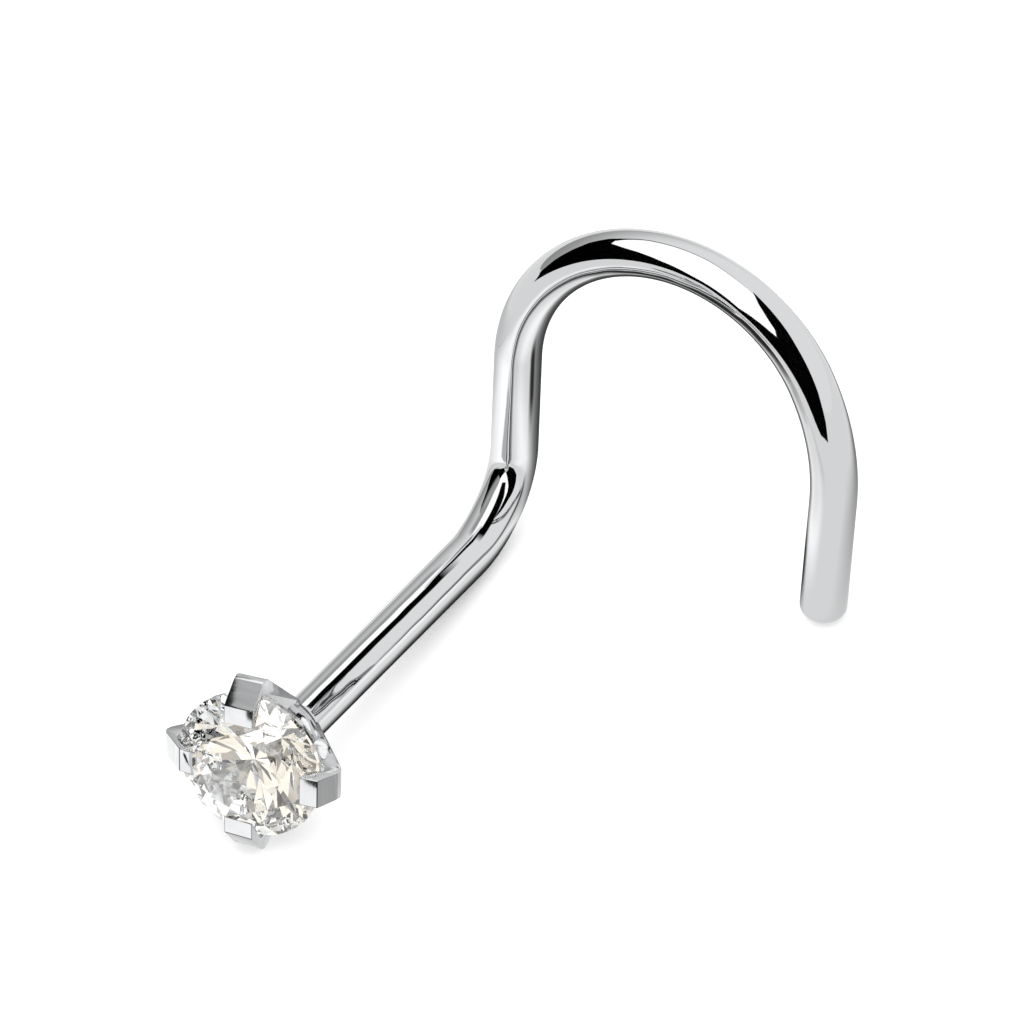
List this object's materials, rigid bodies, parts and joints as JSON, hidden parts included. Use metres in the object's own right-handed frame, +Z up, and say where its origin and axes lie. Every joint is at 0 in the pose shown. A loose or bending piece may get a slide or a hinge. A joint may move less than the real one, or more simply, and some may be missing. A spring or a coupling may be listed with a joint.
{
  "type": "nose stud",
  "caption": "Nose screw stud: bent steel wire post with an open hook and a claw-set round brilliant clear stone.",
  "frame": {"origin": "bottom centre of the bounding box, on the surface that the stud stands on", "axes": "+Z up, the stone faces -Y and a little up, the hook stands at the back at +Y and opens downwards"},
  "size_m": [0.0082, 0.0106, 0.0065],
  "materials": {
    "polished_steel": "mirror polished surgical steel",
    "clear_stone": "clear, faceted and polished"
  },
  "bodies": {
    "root": {"post_hook_and_setting": "polished_steel", "brilliant_stone": "clear_stone"}
  },
  "joints": []
}
